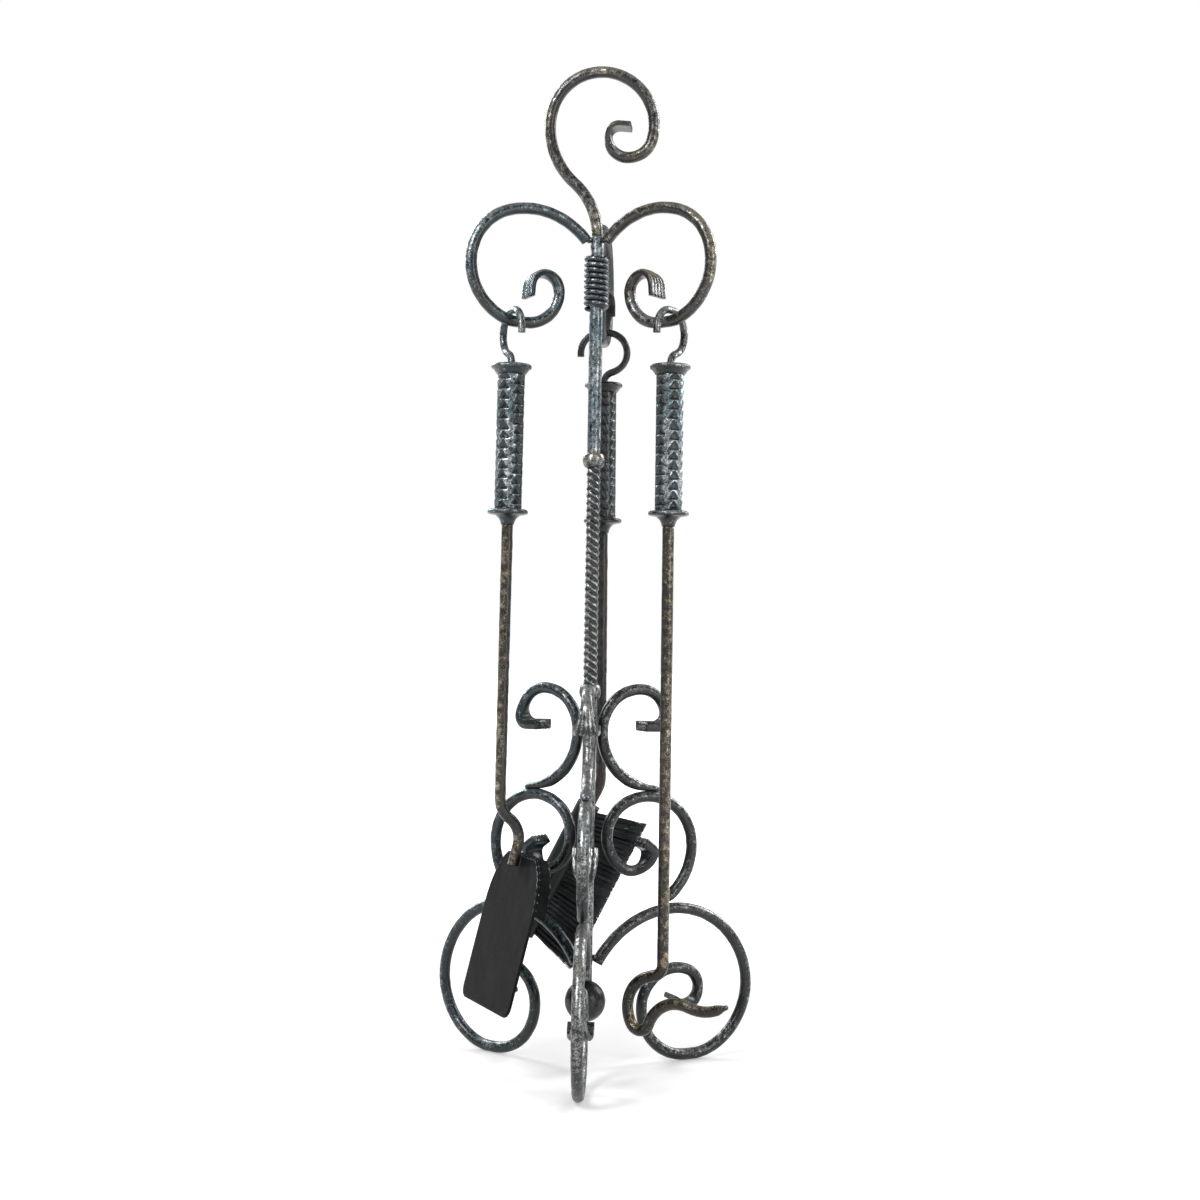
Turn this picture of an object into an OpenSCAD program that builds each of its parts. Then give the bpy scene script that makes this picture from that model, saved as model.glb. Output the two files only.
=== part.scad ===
// Fireplace tool set: a scrollwork stand with a poker, a shovel and a brush.
// Origin on the post's axis at floor level, +Z up, front leg towards -Y.

/* [Stock] */
// Diameter of the round bar of the scrolls
bar_d = 10; // [8:0.5:12]
// Diameter of the plain parts of the post
post_d = 11; // [10:0.5:14]
// Side of the square bar that is twisted
twist_side = 9.4; // [8:0.2:12]
// Length of one full turn of the twisted bar
twist_pitch = 23; // [15:1:40]
// Diameter of the wire wrapped round the post
wire_d = 4.8; // [3:0.2:6]
// Turns of the wire wrap
wire_turns = 10; // [4:1:14]

/* [Stand] */
// Height of the post's top, where the crook and the arms are welded
post_top = 666; // [620:1:760]
// Height of the middle of the lower collar
collar_low_z = 301; // [290:1:320]
// Height of the middle of the upper collar
collar_high_z = 486; // [450:1:520]
// Largest diameter of the collars
collar_d = 18; // [15:0.5:24]
// Height of a collar
collar_h = 12; // [8:1:16]
// Diameter of the ball under the post
ball_d = 33; // [24:1:40]
// Height of the ball's centre
ball_z = 54.5; // [45:0.5:60]

/* [Scroll ends] */
// Width of the hammered fishtail at a scroll's end
tail_w = 22; // [14:1:26]
// Thickness of the fishtail at its end
tail_t = 4; // [3:0.5:6]
// Length over which the bar flattens
tail_len = 42; // [30:1:60]
// Length over which a scroll's root thins where it is welded on
root_len = 30; // [15:1:40]

/* [Tools] */
// Diameter of the wire of a tool's hook
hook_d = 6.6; // [5:0.2:8]
// Inside radius of a tool's hook
hook_in_r = 13.7; // [12:0.1:17]
// Length of the straight crown on top of a hook
crown_len = 5; // [4:0.5:8]
// Diameter of a tool's rod
rod_d = 9.6; // [8:0.2:11]
// Diameter of the hammered grip
grip_d = 22; // [18:1:26]
// Length of the hammered grip
grip_len = 106; // [80:1:130]
// Diameter of the flanges on both ends of the grip
flange_d = 32; // [26:1:36]
// Length of the poker's straight rod
poker_straight = 340; // [280:1:360]

/* [Shovel] */
// Width of the pan
pan_w = 100; // [80:1:110]
// Length of the pan
pan_len = 125; // [100:1:130]
// Height of the pan's walls
pan_wall_h = 9; // [6:0.5:14]
// Thickness of the sheet
pan_t = 2; // [1.5:0.1:3]
// Tilt of the pan against the rod
pan_tilt = 14; // [5:1:20]

/* [Brush] */
// Diameter of the brush block
block_d = 22; // [18:1:26]
// Length of the brush block
block_len = 122; // [90:1:130]
// Angle of the block against the rod
block_lean = 27; // [15:1:35]
// Free length of the bristles
bristle_len = 42; // [20:1:50]
// How far the bristles fan out past the block's ends
bristle_fan = 8; // [0:1:12]

/* [Hidden] */
$fn = 64;
clear = 0.3;                        // running clearance of a hook on its arm
ring_sides = 12;                    // facets round a swept bar
ring_step = 12;                     // largest turn between two rings of a sweep
seat_len = 8;                       // straight round seat at an arm's lowest point
seat_skin = 0.08;                   // how far a sweep lies inside the seat's surface
flange_h = 4;
cone_h = 4;
ferrule_h = 8;
ferrule_d = 14;
root_t = 2.4;                       // thickness of a scroll's thinned root

leg_angles = [["front", -86.5], ["right", 30], ["left", 150]];
arm_angles = [["right", -30], ["rear", 90], ["left", -150]];

// Each scroll is a list of [radius, turn] arcs; radius 0 is a straight stretch of that length.
crook_start = [0, post_top, 90];
crook_arcs = [[58, 48], [61, -58], [40.5, -93], [43.5, -93], [19, -85], [16, -88], [8.5, -86], [0, 9]];
arm_start = [post_d / 2 + 0.38 * bar_d, post_top - 4.6, 47.4];
arm_out = [[64, -67], [44.5, -64], [46, -72], [31, -24.4]];
arm_in = [[27, -90], [13, -95], [13, -80], [0, 8]];
upper_start = [59, 212.6 + bar_d, 179];
upper_arcs = [[50, -45], [44, -51], [33, -86], [22.5, -83], [8.5, -95], [0, 13]];
middle_start = [66, 124.5 + bar_d / 2, 28];
middle_arcs = [[52, 60], [41, 123], [30, 119], [16, 108], [6, 66], [0, 8]];
foot_start = [post_d / 2 + 0.43 * bar_d, 84.5, 59.4];
foot_arcs = [[83, -49], [68, -85], [56.2, -79.2], [42.3, -26.2]];
foot_curl = [[40, -93], [30.5, -108], [15.5, -112], [9, -76], [0, 12]];
foot_flat = 6;                      // straight stretch that rests on the floor

// ---- Paths: a path is a list of [x, z, heading] stations in the XZ plane ----

function step_on(p, r, a) =
  r == 0 ? [p[0] + a * cos(p[2]), p[1] + a * sin(p[2]), p[2]]
  : let (s = sign(a), cx = p[0] - s * r * sin(p[2]), cz = p[1] + s * r * cos(p[2]), h = p[2] + a)
    [cx + s * r * sin(h), cz - s * r * cos(h), h];
function stations(p, arcs, i = 0) =
  i == len(arcs) ? [p]
  : let (r = arcs[i][0], a = arcs[i][1], n = r == 0 ? max(1, round(abs(a) / 12)) : ceil(abs(a) / ring_step))
    concat([for (k = [0:n - 1]) step_on(p, r, a * k / n)], stations(step_on(p, r, a), arcs, i + 1));
function path_end(p, arcs, i = 0) =
  i == len(arcs) ? p : path_end(step_on(p, arcs[i][0], arcs[i][1]), arcs, i + 1);
function gap_to(a, b) = norm([a[0] - b[0], a[1] - b[1]]);
// Distance from each station to the end of the path.
function left_over(path, i) = i >= len(path) - 1 ? 0 : gap_to(path[i], path[i + 1]) + left_over(path, i + 1);
function blend(t) = let (c = max(0, min(1, t))) c * c * (3 - 2 * c);
function power(v, q) = sign(v) * pow(abs(v), q);

// One ring of points across the path: half sizes in the plane and across it, and how square it is.
function ring(p, in_plane, across, q) = [for (k = [0:ring_sides - 1])
  let (a = 360 * (k + 0.5) / ring_sides, u = in_plane * power(cos(a), q))
  [p[0] - u * sin(p[2]), across * power(sin(a), q), p[1] + u * cos(p[2])]];

// A solid through rings of equal size, closed by its end faces.
module loft(rings) {
  n = ring_sides;
  last = len(rings) - 1;
  polyhedron(
    points = [for (r = rings) each r],
    faces = concat(
      [for (k = [1:n - 2]) [0, k + 1, k]],
      [for (k = [1:n - 2]) [last * n, last * n + k, last * n + k + 1]],
      [for (i = [0:last - 1], k = [0:n - 1]) [i * n + k, i * n + (k + 1) % n, (i + 1) * n + k]],
      [for (i = [0:last - 1], k = [0:n - 1])
        [i * n + (k + 1) % n, (i + 1) * n + (k + 1) % n, (i + 1) * n + k]]));
}

// A round bar along a path. A fishtail of the given length ends it, and its root may thin to a weld.
module bar(path, r, tail = 0, root = 0) {
  whole = left_over(path, 0);
  loft([for (i = [0:len(path) - 1])
    let (rest = left_over(path, i),
      t = tail == 0 ? 0 : blend(1 - rest / tail),
      w = root == 0 ? 0 : blend(1 - (whole - rest) / root))
    ring(path[i], r + (tail_t / 2 - r) * t - (r - root_t / 2) * w, r + (tail_w / 2 - r) * t, 1 - 0.55 * t)]);
}

// ---- Stand ----

module post_upper() {
  color("#3a3c40") translate([0, 0, collar_high_z + collar_h / 2])
    cylinder(d = post_d, h = post_top - collar_high_z - collar_h / 2);
}
module post_twist() {
  h = collar_high_z - collar_low_z - collar_h;
  color("#3a3c40") translate([0, 0, collar_low_z + collar_h / 2])
    linear_extrude(height = h, twist = -360 * h / twist_pitch, slices = round(h * 18 / twist_pitch), $fn = 4)
      square(twist_side, center = true);
}
module post_lower() {
  foot = ball_z + ball_d / 2 - 1;
  color("#3a3c40") translate([0, 0, foot]) cylinder(d = post_d, h = collar_low_z - collar_h / 2 - foot);
}
module collar(z) {
  color("#4a4c50") translate([0, 0, z]) rotate_extrude()
    polygon([for (p = [[0, -1], [0.7, -1], [1, -0.45], [0.86, 0], [1, 0.45], [0.7, 1], [0, 1]])
      [p[0] * collar_d / 2, p[1] * collar_h / 2]]);
}
module collar_upper() collar(collar_high_z);
module collar_lower() collar(collar_low_z);
module wire_wrap() {
  color("#4a4c50") for (i = [0:wire_turns - 1])
    translate([0, 0, post_top - 14 - wire_d * (0.96 * i + 0.5)])
      rotate_extrude() translate([(post_d + wire_d) / 2 + clear / 3, 0]) circle(d = wire_d, $fn = 32);
}
module ball_finial() {
  color("#3a3c40") difference() {
    translate([0, 0, ball_z]) sphere(d = ball_d);
    translate([0, 0, ball_z + ball_d / 2 - 1]) cylinder(d = post_d + 0.1, h = 5);
  }
}
module crook() {
  color("#33363a") bar(stations(crook_start, crook_arcs), bar_d / 2, tail_len);
}

seat_start = path_end(arm_start, arm_out);
seat_end = step_on(seat_start, 0, seat_len);
seat_r = (seat_start[0] + seat_end[0]) / 2;
seat_z = seat_start[1];
module arm(a) {
  inner = bar_d / 2 - seat_skin;
  color("#33363a") rotate([0, 0, a]) {
    bar(concat(stations(arm_start, arm_out), [step_on(seat_start, 0, 1)]), inner);
    translate([seat_end[0], 0, seat_z]) rotate([0, 90, 0]) cylinder(d = bar_d, h = seat_len);
    bar(concat([step_on(seat_end, 0, -1)], stations(seat_end, arm_in)), inner, tail_len);
  }
}
module arm_left() arm(arm_angles[2][1]);
module arm_right() arm(arm_angles[0][1]);
module arm_rear() arm(arm_angles[1][1]);

module upper_scroll(a) {
  color("#33363a") rotate([0, 0, a]) bar(stations(upper_start, upper_arcs), bar_d / 2, tail_len, root_len);
}
module middle_scroll(a) {
  color("#33363a") rotate([0, 0, a]) bar(stations(middle_start, middle_arcs), bar_d / 2, tail_len, root_len / 2);
}
module foot_scroll(a) {
  low = path_end(foot_start, foot_arcs);
  path = concat(stations(foot_start, foot_arcs), stations(step_on(low, 0, foot_flat), foot_curl));
  lift = bar_d / 2 * cos(180 / ring_sides) - low[1];
  color("#33363a") rotate([0, 0, a]) translate([0, 0, lift]) bar(path, bar_d / 2, tail_len);
}
module leg_front_upper() upper_scroll(leg_angles[0][1]);
module leg_front_middle() middle_scroll(leg_angles[0][1]);
module leg_front_foot() foot_scroll(leg_angles[0][1]);
module leg_right_upper() upper_scroll(leg_angles[1][1]);
module leg_right_middle() middle_scroll(leg_angles[1][1]);
module leg_right_foot() foot_scroll(leg_angles[1][1]);
module leg_left_upper() upper_scroll(leg_angles[2][1]);
module leg_left_middle() middle_scroll(leg_angles[2][1]);
module leg_left_foot() foot_scroll(leg_angles[2][1]);

// ---- Tools: drawn about the arm's seat, +X outwards along the arm, +Y sideways ----

hook_r = hook_in_r + hook_d / 2;
hook_z = bar_d / 2 + clear - hook_in_r;             // centre of the hook's ring
hook_turn = 75;
neck_bend = (crown_len / 2 + hook_r * cos(hook_turn)) / (1 - cos(hook_turn));
flange_z = hook_z - hook_r * sin(hook_turn) - neck_bend * sin(hook_turn);
grip_z = flange_z - flange_h - cone_h;
ferrule_z = grip_z - grip_len;
rod_z = ferrule_z - flange_h - ferrule_h;

pivot_z = hook_z + hook_r;                          // centre of the crown
// Hangs a tool on the arm at angle a, turned outwards about the crown by the given angle.
module on_arm(a, hang = 0) {
  rotate([0, 0, a]) translate([seat_r, 0, seat_z + pivot_z])
    rotate([0, -hang, 0]) translate([0, 0, -pivot_z]) children();
}
// The hook's tip is on the +Y side with side = 1 and on the -Y side with side = -1.
// Its straight crown is the round face that rocks on the arm.
module hook(side) {
  inner = hook_d / 2 - seat_skin;
  half = crown_len / 2;
  crown = [half, hook_z + hook_r, 180];
  tip = stations([half + hook_r, hook_z - 3, 90], [[0, 3], [hook_r, 90], [0, 1]]);
  neck = stations([1 - half, crown[1], 180], [[0, 1], [hook_r, 90 + hook_turn], [neck_bend, -hook_turn]]);
  color("#3a3c40") rotate([0, 0, side * 90]) {
    bar(tip, inner);
    translate([-half, 0, crown[1]]) rotate([0, 90, 0]) cylinder(d = hook_d, h = crown_len);
    bar(neck, inner);
  }
}
module flange() {
  color("#33363a") translate([0, 0, flange_z - flange_h]) cylinder(d = flange_d, h = flange_h);
  color("#33363a") translate([0, 0, grip_z]) cylinder(d1 = grip_d + 2, d2 = flange_d - 3, h = cone_h);
}
module grip() {
  color("#3c4248") translate([0, 0, ferrule_z]) cylinder(d = grip_d, h = grip_len);
}
module ferrule() {
  color("#33363a") translate([0, 0, ferrule_z - flange_h]) cylinder(d = flange_d, h = flange_h);
  color("#33363a") translate([0, 0, rod_z]) cylinder(d1 = rod_d + 1, d2 = ferrule_d + 6, h = ferrule_h);
}
module rod(arcs) {
  color("#55504a") bar(stations([0, rod_z, -90], arcs), rod_d / 2);
}

poker_arm = arm_angles[0][1];
poker_hang = 0.2;                   // out of plumb, so that its weight hangs under the crown
module poker_hook() on_arm(poker_arm, poker_hang) hook(-1);
module poker_flange() on_arm(poker_arm, poker_hang) flange();
module poker_grip() on_arm(poker_arm, poker_hang) grip();
module poker_ferrule() on_arm(poker_arm, poker_hang) ferrule();
poker_arcs = [[0, poker_straight], [9, -73], [0, 8], [26, 103], [9, 129], [30, -86], [38, 38], [0, 10]];
module poker_rod() {
  path = stations([0, rod_z, -90], poker_arcs);
  color("#55504a") on_arm(poker_arm, poker_hang) loft([for (i = [0:len(path) - 1])
    let (t = blend(1 - left_over(path, i) / 42), e = blend(1 - left_over(path, i) / 10))
    ring(path[i], rod_d / 2 * (1 - 0.1 * t - 0.5 * e), rod_d / 2 * (1 - 0.5 * t), 1)]);
}

shovel_arm = arm_angles[2][1];
shovel_hang = 0.6;
shovel_straight = 214;
shovel_arcs = [[0, shovel_straight], [20, -50], [0, 3], [20, 50 + pan_tilt], [0, 16]];
shovel_end = path_end([0, rod_z, -90], shovel_arcs);
module shovel_hook() on_arm(shovel_arm, shovel_hang) hook(1);
module shovel_flange() on_arm(shovel_arm, shovel_hang) flange();
module shovel_grip() on_arm(shovel_arm, shovel_hang) grip();
module shovel_ferrule() on_arm(shovel_arm, shovel_hang) ferrule();
module shovel_rod() on_arm(shovel_arm, shovel_hang) rod(shovel_arcs);
// The pan's outline, inset by m: straight sides, a rounded shoulder and rounded front corners.
shoulder = 46;
function pan_outline(m) = let (w = pan_w / 2 - m, top = pan_len - m, c = 9)
  concat(
    [for (a = [270:15:360]) [w - c + c * cos(a), c + c * sin(a)]],
    [for (a = [0:10:70]) [w * (0.3 + 0.7 * cos(a)), top - shoulder + shoulder * sin(a)]],
    [for (a = [110:10:180]) [-w * (0.3 - 0.7 * cos(a)), top - shoulder + shoulder * sin(a)]],
    [for (a = [180:15:270]) [-w + c + c * cos(a), c + c * sin(a)]]);
module shovel_pan() {
  depth = pan_wall_h + pan_t;
  color("#1c1d1f") on_arm(shovel_arm, shovel_hang) translate([shovel_end[0], 0, shovel_end[1]])
    rotate([0, -pan_tilt, 0]) translate([-rod_d / 2 - clear / 3, 0, 14 - pan_len])
      rotate([90, 0, 90]) translate([0, 0, -depth]) difference() {
        linear_extrude(height = depth) polygon(pan_outline(0));
        translate([0, 0, -1]) linear_extrude(height = pan_wall_h + 1) polygon(pan_outline(pan_t));
        translate([-pan_w / 2 - 1, -1, -1]) cube([pan_w + 2, 12, pan_wall_h + 1]);
      }
}

brush_arm = arm_angles[1][1];
brush_straight = 206;
brush_hang = -0.5;                  // the rod leans this far about the arm, as its hook holds it
brush_arcs = [[0, brush_straight], [20, -block_lean], [0, 14]];
brush_end = path_end([0, rod_z, -90], brush_arcs);
module on_brush() on_arm(brush_arm) rotate([brush_hang, 0, 0]) children();
module brush_hook() on_brush() hook(1);
module brush_flange() on_brush() flange();
module brush_grip() on_brush() grip();
module brush_ferrule() on_brush() ferrule();
module brush_rod() on_brush() rotate([0, 0, -90]) rod(brush_arcs);
// The block's frame: +Z runs back up the block, -Y is where the bristles point.
module at_block() {
  on_brush() rotate([0, 0, -90]) translate([brush_end[0], 0, brush_end[1]])
    rotate([0, block_lean, 0]) children();
}
module brush_block() {
  color("#2a2a2c") at_block() difference() {
    translate([0, 0, -block_len]) cylinder(d = block_d, h = block_len);
    translate([block_d / 2 - 2.5, -block_d, -block_len - 1]) cube([5, 2 * block_d, block_len + 2]);
  }
}
module brush_bristles() {
  root = block_d / 2 - 2.5;
  wide = block_d * 0.62;
  color("#141416") at_block() hull() {
    translate([root, -block_d * 0.36, 4 - block_len]) cube([1, block_d * 0.72, block_len - 8]);
    translate([root + bristle_len - 1, -wide, -block_len - bristle_fan]) cube([1, 2 * wide, block_len + 2 * bristle_fan]);
  }
}

post_upper();
post_twist();
post_lower();
collar_upper();
collar_lower();
wire_wrap();
crook();
ball_finial();
arm_left();
arm_right();
arm_rear();
leg_front_upper();
leg_front_middle();
leg_front_foot();
leg_right_upper();
leg_right_middle();
leg_right_foot();
leg_left_upper();
leg_left_middle();
leg_left_foot();
poker_hook();
poker_flange();
poker_grip();
poker_ferrule();
poker_rod();
shovel_hook();
shovel_flange();
shovel_grip();
shovel_ferrule();
shovel_rod();
shovel_pan();
brush_hook();
brush_flange();
brush_grip();
brush_ferrule();
brush_rod();
brush_block();
brush_bristles();
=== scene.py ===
"""Looks of the fireplace tool set: hand-forged scrollwork, hammered grips, pan and brush.

Metres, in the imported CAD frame: the origin is on the post's axis at floor level, +Z is up and
the front leg points 3.5 degrees off -Y. Bars are swept finer than the CAD's along the same arcs.
"""
import math
import random

import bmesh
import bpy
import numpy as np
from mathutils import Matrix, Vector, noise


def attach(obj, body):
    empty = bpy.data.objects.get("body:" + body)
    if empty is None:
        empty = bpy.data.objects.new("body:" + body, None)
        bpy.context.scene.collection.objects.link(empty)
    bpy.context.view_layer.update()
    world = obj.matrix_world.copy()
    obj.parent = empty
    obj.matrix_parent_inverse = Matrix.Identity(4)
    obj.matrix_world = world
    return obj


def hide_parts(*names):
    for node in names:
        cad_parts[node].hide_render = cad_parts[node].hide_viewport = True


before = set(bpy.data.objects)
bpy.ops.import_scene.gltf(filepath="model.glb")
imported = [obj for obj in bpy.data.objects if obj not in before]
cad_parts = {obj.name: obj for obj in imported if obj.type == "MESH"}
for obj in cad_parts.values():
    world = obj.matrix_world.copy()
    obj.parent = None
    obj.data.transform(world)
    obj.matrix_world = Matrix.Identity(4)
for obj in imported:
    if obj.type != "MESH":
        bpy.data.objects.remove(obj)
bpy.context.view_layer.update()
MM = 0.001

# ---- Design sizes, millimetres (the CAD's own) ----

BAR_R = 4.83            # the CAD bar's flats, so that a foot stays on the floor
POST_D = 11.0
POST_TOP = 666.0
TAIL_W = 22.0
TAIL_T = 4.4
SCROLL_END_T = 8.4      # the leg scrolls end thicker
TAIL_LEN = 42.0
RIBS = 5
ROOT_T = 5.0            # thicker than the CAD's, as the weld fills it
TWIST_SIDE = 9.4
TWIST_PITCH = 23.0
WIRE_D = 4.8
WIRE_TURNS = 10
COLLAR_LOW_Z = 301.0
COLLAR_HIGH_Z = 486.0
COLLAR_D = 18.0
COLLAR_H = 12.0
BALL_D = 33.0
BALL_Z = 54.5
HOOK_D = 6.6
HOOK_IN_R = 13.7
CROWN_LEN = 5.0
CLEAR = 0.3
ROD_D = 9.6
ROD_R = ROD_D / 2 - 0.12
GRIP_D = 22.0
GRIP_LEN = 106.0
FLANGE_D = 32.0
FLANGE_H = 4.0
CONE_H = 4.0
FERRULE_H = 8.0
PAN_W = 100.0
PAN_LEN = 125.0
PAN_WALL_H = 9.0
PAN_T = 2.0
PAN_TILT = 14.0
PAN_SHOULDER = 46.0
PAN_CORNER_R = 9.0
PAN_SOCKET = 14.0       # how far the rod reaches down the pan
PAN_FOLD = 1.6          # the rounded fold between floor and wall
BLOCK_D = 22.0
BLOCK_LEN = 122.0
BLOCK_LEAN = 27.0
BRISTLE_LEN = 42.0
BRISTLE_FAN = 8.0
BLOCK_FLAT = BLOCK_D / 2 - 2.5    # from the block's axis to the face that holds the bristles
POKER_HANG = 0.2
SHOVEL_HANG = 0.6
BRUSH_HANG = -0.5

LEGS = {"front": -86.5, "right": 30.0, "left": 150.0}
ARMS = {"right": -30.0, "rear": 90.0, "left": -150.0}

# Each scroll is a list of (radius, turn in degrees); radius 0 is a straight stretch.
CROOK_START = (0.0, POST_TOP, 90.0)
CROOK = [(58, 48), (61, -58), (40.5, -93), (43.5, -93), (19, -85), (16, -88), (8.5, -86), (0, 9)]
ARM_START = (POST_D / 2 + 3.8, POST_TOP - 4.6, 47.4)
SEAT_LEN = 8.0
ARM_OUT = [(64, -67), (44.5, -64), (46, -72), (31, -24.4), (0, SEAT_LEN)]
ARM_IN = [(27, -90), (13, -95), (13, -80), (0, 8)]
UPPER_START = (59.0, 222.6, 179.0)
UPPER = [(50, -45), (44, -51), (33, -86), (22.5, -83), (8.5, -95), (0, 13)]
MIDDLE_START = (66.0, 129.5, 28.0)
MIDDLE = [(52, 60), (41, 123), (30, 119), (16, 108), (6, 66), (0, 8)]
FOOT_START = (POST_D / 2 + 4.3, 84.5, 59.4)
FOOT = [(83, -49), (68, -85), (56.2, -79.2), (42.3, -26.2), (0, 6)]
FOOT_CURL = [(40, -93), (30.5, -108), (15.5, -112), (9, -76), (0, 12)]
ROOT_LEN = 24.0
POKER_ROD = [(0, 340), (9, -73), (0, 8), (26, 103), (9, 129), (30, -86), (38, 38), (0, 10)]
SHOVEL_ROD = [(0, 214), (20, -50), (0, 3), (20, 50 + PAN_TILT), (0, 16)]
BRUSH_ROD = [(0, 206), (20, -BLOCK_LEAN), (0, 14)]
POINT_TAPER = 42.0      # the poker narrows over this length
POINT_TIP = 10.0        # and thins to its tip over this one

MARK_SIZE = 9.0         # hammer marks on the bars that bar_mesh makes
MARK_DEPTH = 0.55
WRAP_DROP = 14.0        # the wire starts this far below the post's top
FOOT_WELD = (POST_D / 2 + 1.6, 88.5, 3.2)       # x, z and radius of each weld bead
ARM_WELD = (POST_D / 2 + 1.6, POST_TOP - 3.5, 3.4)
MIDDLE_WELD = (67.0, 129.0, 3.6)
UPPER_WELD = (60.0, 221.4, 3.6)


# ---- Paths: stations (x, z, heading, length from the start), in a vertical plane ----

def step_on(x, z, h, r, turn):
    """The station a given turn further on an arc of radius r."""
    if r == 0:
        return (x + turn * math.cos(math.radians(h)), z + turn * math.sin(math.radians(h)), h)
    s = math.copysign(1.0, turn)
    cx = x - s * r * math.sin(math.radians(h))
    cz = z + s * r * math.cos(math.radians(h))
    h2 = h + turn
    return (cx + s * r * math.sin(math.radians(h2)), cz - s * r * math.cos(math.radians(h2)), h2)


def trace(start, arcs, pitch=1.8):
    """Stations about one pitch apart along the arcs."""
    here = start
    out = [(here[0], here[1], here[2], 0.0)]
    run = 0.0
    for r, turn in arcs:
        length = abs(turn) if r == 0 else abs(math.radians(turn)) * r
        n = max(2, int(round(length / pitch)))
        for k in range(1, n + 1):
            x, z, h = step_on(*here, r, turn * k / n)
            out.append((x, z, h, run + length * k / n))
        run += length
        here = step_on(*here, r, turn)
    return out


def path_end(start, arcs):
    for r, turn in arcs:
        start = step_on(*start, r, turn)
    return start


def smooth(t):
    c = max(0.0, min(1.0, t))
    return c * c * (3 - 2 * c)


# ---- Meshes ----

def new_piece(name, verts, faces, body, replaced, material, raised=None):
    """A mesh object in metres that rides on a body and stands for CAD nodes.

    raised is 0 to 1 for each point: how far it stands proud, where the metal is rubbed bright; on the
    pan's wall it also carries a painted highlight along the rim and fold.
    """
    mesh = bpy.data.meshes.new(name)
    mesh.from_pydata([tuple(v) for v in verts], [], faces)
    proud = mesh.attributes.new("raised", "FLOAT", "POINT")
    proud.data.foreach_set("value", raised if raised else [0.5] * len(verts))
    made = bmesh.new()
    made.from_mesh(mesh)
    bmesh.ops.recalc_face_normals(made, faces=made.faces)
    made.to_mesh(mesh)
    made.free()
    mesh.polygons.foreach_set("use_smooth", [True] * len(mesh.polygons))
    obj = bpy.data.objects.new(name, mesh)
    bpy.context.scene.collection.objects.link(obj)
    mesh.materials.append(material)
    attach(obj, body)
    if replaced:
        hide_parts(*replaced)


def tube_faces(rings, sides):
    """Quads along rings of equal size, with a fan on both ends."""
    faces = []
    for i in range(rings - 1):
        for k in range(sides):
            a = i * sides + k
            b = i * sides + (k + 1) % sides
            faces.append((a, b, b + sides, a + sides))
    faces.append(tuple(reversed(range(sides))))
    faces.append(tuple(range((rings - 1) * sides, rings * sides)))
    return faces


def dent(point, seed, size, depth):
    """Hammer marks: shallow flats from a smooth cell noise, 0 to -depth."""
    p = Vector(point) / size + Vector((seed * 7.3, seed * 3.1, seed * 5.7))
    near = noise.voronoi(p, distance_metric="DISTANCE", exponent=2.5)[0]
    return -depth * (1 - min(1.0, near[1] - near[0])) * 0.5 - depth * 0.5 * abs(noise.noise(p * 0.7))


def bar_mesh(stations, r, tail=0.0, root=0.0, outer=1.0, seed=0, sides=56, end_t=TAIL_T):
    """A forged round bar in the XZ plane, millimetres: hammer marks, and a ribbed fishtail.

    outer is +1 where the fishtail's ribbed face is on the left of the heading, else -1.
    """
    whole = stations[-1][3]
    verts, raised = [], []
    for x, z, h, run in stations:
        t = smooth((1 - (whole - run) / tail) * 1.25) if tail else 0.0
        w = smooth(1 - run / root) if root else 0.0
        thick = r + (end_t / 2 - r) * t - (r - ROOT_T / 2) * w
        broad = r + (TAIL_W / 2 - 0.35 - r) * t
        nx, nz = -math.sin(math.radians(h)), math.cos(math.radians(h))
        for k in range(sides):
            a = 2 * math.pi * (k + 0.5) / sides
            across = math.asin(math.sin(a)) * 2 / math.pi
            flat = math.copysign(thick * (1 - abs(across) ** 10) ** 0.1, math.cos(a))
            u = thick * math.cos(a) * (1 - t) + flat * t
            v = broad * (math.sin(a) * (1 - t) + across * t)
            mark = dent((x + u * nx, v, z + u * nz), seed, MARK_SIZE, MARK_DEPTH)
            proud = 0.75 + 0.5 * mark / MARK_DEPTH
            if u * outer > 0:
                groove = 0.5 + 0.5 * math.cos(2 * math.pi * RIBS * (v / broad * 0.5 + 0.5))
                u -= outer * t * min(1.5, thick * 0.6) * groove
                proud += (1.3 - 1.5 * groove - proud) * t
            elif t > 0.3:
                proud *= 1 - t
            u -= math.copysign(min(abs(u) * 0.3, -mark * (1 - 0.7 * t)), u) * abs(math.cos(a))
            v += mark * math.sin(a) * (1 - t)
            verts.append((x + u * nx, v, z + u * nz))
            raised.append(proud)
    return verts, tube_faces(len(stations), sides), raised


def turned(verts, angle, lift=0.0):
    """Millimetre points in the XZ plane turned to a direction round the post, in metres."""
    c, s = math.cos(math.radians(angle)), math.sin(math.radians(angle))
    return [((x * c - y * s) * MM, (x * s + y * c) * MM, (z + lift) * MM) for x, y, z in verts]


def placed(verts, matrix):
    return [matrix @ Vector(v) * MM for v in verts]


def lathe(profile, sides=48, wobble=0.0, seed=0):
    """Points of a profile [(r, z)] turned about Z, millimetres, with closed ends on the axis."""
    verts = []
    for r, z in profile:
        for k in range(sides):
            a = 2 * math.pi * k / sides
            rr = r
            if wobble and r > 0.5:
                rr = r + dent((r * math.cos(a), r * math.sin(a), z), seed, 5.0, wobble)
            verts.append((rr * math.cos(a), rr * math.sin(a), z))
    return verts, tube_faces(len(profile), sides)


# ---- Materials ----

def node_material(name):
    mat = bpy.data.materials.new(name)
    mat.use_nodes = True
    tree = mat.node_tree
    return mat, tree, tree.nodes["Principled BSDF"]


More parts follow.
